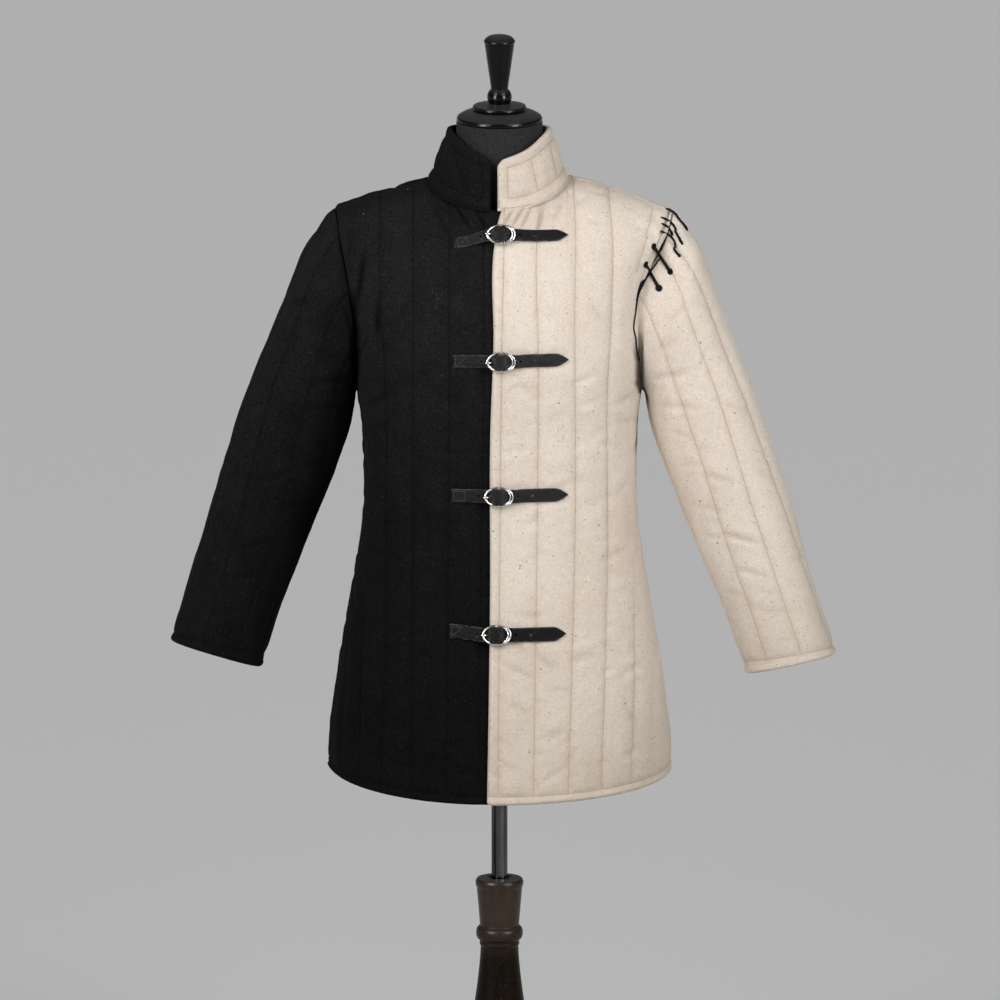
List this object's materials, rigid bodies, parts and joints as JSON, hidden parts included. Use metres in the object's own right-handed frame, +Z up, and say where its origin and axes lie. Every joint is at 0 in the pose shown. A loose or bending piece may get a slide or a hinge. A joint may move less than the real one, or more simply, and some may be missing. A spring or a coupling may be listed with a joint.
{
  "type": "quilted gambeson on a dress form stand",
  "caption": "Thigh-length quilted arming jacket in black and cream halves, with a standing collar, buckled straps and a laced sleeve, on a limbless dress form with a turned post.",
  "frame": {"origin": "on the floor, at the middle of the flat underside of the stand's round base", "axes": "+Z up along the pole, -Y out of the garment's front, +X to the wearer's left (the cream half)"},
  "size_m": [0.9048, 0.4, 1.6794],
  "materials": {
    "black_cloth": "matte black quilted wool cloth with pale lint",
    "cream_cloth": "unbleached quilted cotton with fine dark flecks",
    "black_leather": "smooth black leather, half gloss",
    "steel": "bright steel wire, lightly worn",
    "lace_cord": "black braided cord and thread",
    "form_jersey": "black jersey over a foam form",
    "black_lacquer": "turned wood under glossy black lacquer",
    "pole_metal": "dark grey satin metal tube",
    "dark_wood": "turned wood, dark brown satin stain"
  },
  "bodies": {
    "root": {"front_black": "black_cloth", "front_cream": "cream_cloth", "back_black": "black_cloth", "back_cream": "cream_cloth", "sleeve_black": "black_cloth", "sleeve_cream": "cream_cloth", "collar_black": "black_cloth", "collar_cream": "cream_cloth", "shoulder_underlap": "cream_cloth", "strap_1": "black_leather", "strap_2": "black_leather", "strap_3": "black_leather", "strap_4": "black_leather", "chape_1": "black_leather", "chape_2": "black_leather", "chape_3": "black_leather", "chape_4": "black_leather", "buckle_frame_1": "steel", "buckle_frame_2": "steel", "buckle_frame_3": "steel", "buckle_frame_4": "steel", "prong_1": "steel", "prong_2": "steel", "prong_3": "steel", "prong_4": "steel", "eyelet_body_1": "lace_cord", "eyelet_body_2": "lace_cord", "eyelet_body_3": "lace_cord", "eyelet_body_4": "lace_cord", "eyelet_body_5": "lace_cord", "eyelet_body_6": "lace_cord", "eyelet_sleeve_1": "lace_cord", "eyelet_sleeve_2": "lace_cord", "eyelet_sleeve_3": "lace_cord", "eyelet_sleeve_4": "lace_cord", "eyelet_sleeve_5": "lace_cord", "eyelet_sleeve_6": "lace_cord", "lace_1": "lace_cord", "lace_2": "lace_cord", "lace_3": "lace_cord", "lace_4": "lace_cord", "lace_5": "lace_cord", "lace_6": "lace_cord", "lace_run": "lace_cord", "form_torso": "form_jersey", "neck_cap": "black_lacquer", "neck_disc": "black_lacquer", "finial": "black_lacquer", "pole": "pole_metal", "post": "dark_wood", "base": "dark_wood"}
  },
  "joints": []
}
